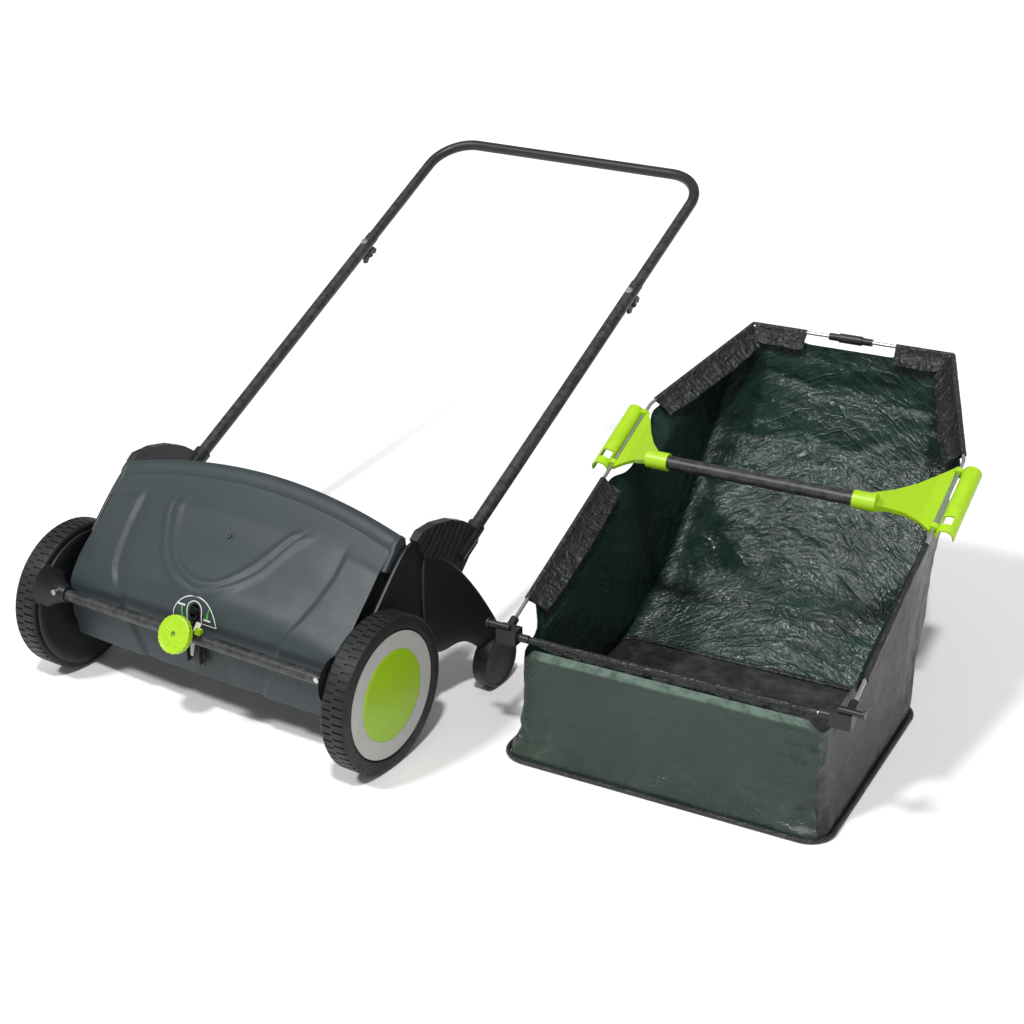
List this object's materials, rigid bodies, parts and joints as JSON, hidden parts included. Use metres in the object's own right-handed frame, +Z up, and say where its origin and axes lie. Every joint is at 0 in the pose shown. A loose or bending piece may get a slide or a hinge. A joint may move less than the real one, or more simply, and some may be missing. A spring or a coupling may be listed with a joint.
{
  "type": "lawn sweeper",
  "caption": "Push lawn sweeper with ground-driven brush, tilting hood and U handle, and its detached fabric collector on a rod frame with a carrying bar.",
  "frame": {"origin": "floor level under the middle of the overall bounding box of the sweeper and the collector beside it", "axes": "+Z up; the sweeper faces -Y and its wheels turn about X; the collector stands on the sweeper's +X side, turned 4.5 degrees about Z"},
  "size_m": [1.3434, 1.2018, 0.691],
  "materials": {
    "black_plastic": "fine-grained moulded polypropylene",
    "hood_plastic": "satin moulded polypropylene",
    "tyre_rubber": "moulded tread",
    "rim_plastic": "satin",
    "trim_grey": "satin",
    "lime_cap": "satin",
    "lime_plastic": "satin-gloss",
    "charcoal_tube": "powder coat",
    "zinc_steel": "zinc plated",
    "scale_black": "printed plate",
    "strap_white": "satin",
    "brush_plastic": "satin",
    "bristle": "bristle",
    "hem_black": "coated woven hem",
    "bag_green": "coated woven polyethylene",
    "board_black": "matt panel"
  },
  "bodies": {
    "carriage": {"side_arm_left": "black_plastic", "side_arm_right": "black_plastic", "handle_socket_left": "black_plastic", "handle_socket_right": "black_plastic", "lower_tube_left": "charcoal_tube", "lower_tube_right": "charcoal_tube", "front_bar": "charcoal_tube", "bar_end_screws": "zinc_steel", "axle_pins": "zinc_steel", "axle_washers": "zinc_steel", "upper_handle": "charcoal_tube", "handle_bolts": "zinc_steel", "height_bolt": "zinc_steel", "height_pointer": "lime_plastic"},
    "deck": {"hood": "hood_plastic", "hood_screw": "zinc_steel", "scale_plate": "scale_black", "height_strap": "strap_white", "end_plate_left": "black_plastic", "end_plate_right": "black_plastic"},
    "wheel_left": {"tyre_left": "tyre_rubber", "wheel_rim_left": "rim_plastic", "trim_ring_left": "trim_grey", "hub_cap_left": "lime_cap"},
    "wheel_right": {"tyre_right": "tyre_rubber", "wheel_rim_right": "rim_plastic", "trim_ring_right": "trim_grey", "hub_cap_right": "lime_cap"},
    "pinion_left": {"pinion_left": "rim_plastic"},
    "pinion_right": {"pinion_right": "rim_plastic"},
    "brush": {"brush_shaft": "zinc_steel", "brush_core": "brush_plastic", "brush_bristles": "bristle"},
    "height_knob": {"height_knob": "lime_plastic"},
    "wing_knob_left": {"wing_knob_left": "black_plastic"},
    "wing_knob_right": {"wing_knob_right": "black_plastic"},
    "collector": {"side_rod_left": "zinc_steel", "side_rod_right": "zinc_steel", "corner_connector_left": "black_plastic", "corner_connector_right": "black_plastic", "handle_bracket_left": "lime_plastic", "handle_bracket_right": "lime_plastic", "lower_sleeve_left": "hem_black", "lower_sleeve_right": "hem_black", "upper_sleeve_left": "hem_black", "upper_sleeve_right": "hem_black", "top_sleeve_left": "hem_black", "top_sleeve_right": "hem_black", "front_rod": "zinc_steel", "middle_connector": "black_plastic", "cross_tube": "charcoal_tube", "front_hem": "hem_black", "bag_fabric": "bag_green", "base_board": "board_black", "base_piping": "hem_black"}
  },
  "joints": [
    {"name": "height_adjust", "type": "hinge", "parent": "carriage", "child": "deck", "pos_m": [-0.33614, -0.47595, 0.125], "axis": [1, 0, 0], "range_deg": [-6, 5]},
    {"name": "wheel_left_spin", "type": "hinge", "parent": "deck", "child": "wheel_left", "pos_m": [-0.33614, -0.47595, 0.125], "axis": [1, 0, 0], "continuous": true},
    {"name": "wheel_right_spin", "type": "hinge", "parent": "deck", "child": "wheel_right", "pos_m": [-0.33614, -0.47595, 0.125], "axis": [1, 0, 0], "continuous": true},
    {"name": "brush_spin", "type": "hinge", "parent": "deck", "child": "brush", "pos_m": [-0.33614, -0.40595, 0.09807], "axis": [1, 0, 0], "continuous": true},
    {"name": "pinion_left_spin", "type": "hinge", "parent": "deck", "child": "pinion_left", "pos_m": [-0.33614, -0.40595, 0.09807], "axis": [1, 0, 0], "continuous": true},
    {"name": "pinion_right_spin", "type": "hinge", "parent": "deck", "child": "pinion_right", "pos_m": [-0.33614, -0.40595, 0.09807], "axis": [1, 0, 0], "continuous": true},
    {"name": "height_knob_turn", "type": "hinge", "parent": "carriage", "child": "height_knob", "pos_m": [-0.33614, -0.57503, 0.17722], "axis": [0, -0.8847, 0.4662], "continuous": true},
    {"name": "wing_knob_left_turn", "type": "hinge", "parent": "carriage", "child": "wing_knob_left", "pos_m": [-0.62374, 0.31105, 0.5352], "axis": [0, -0.4624, 0.8867], "continuous": true},
    {"name": "wing_knob_right_turn", "type": "hinge", "parent": "carriage", "child": "wing_knob_right", "pos_m": [-0.04854, 0.31105, 0.5352], "axis": [0, -0.4624, 0.8867], "continuous": true},
    {"name": "collector_lift", "type": "slide", "parent": "carriage", "child": "collector", "axis": [0, 0, 1], "range_m": [0, 0.4]}
  ],
  "couplings": [
    {"joint": "brush_spin", "follows": "wheel_right_spin", "ratio": 6},
    {"joint": "pinion_right_spin", "follows": "wheel_right_spin", "ratio": 6},
    {"joint": "pinion_left_spin", "follows": "wheel_left_spin", "ratio": 6}
  ]
}
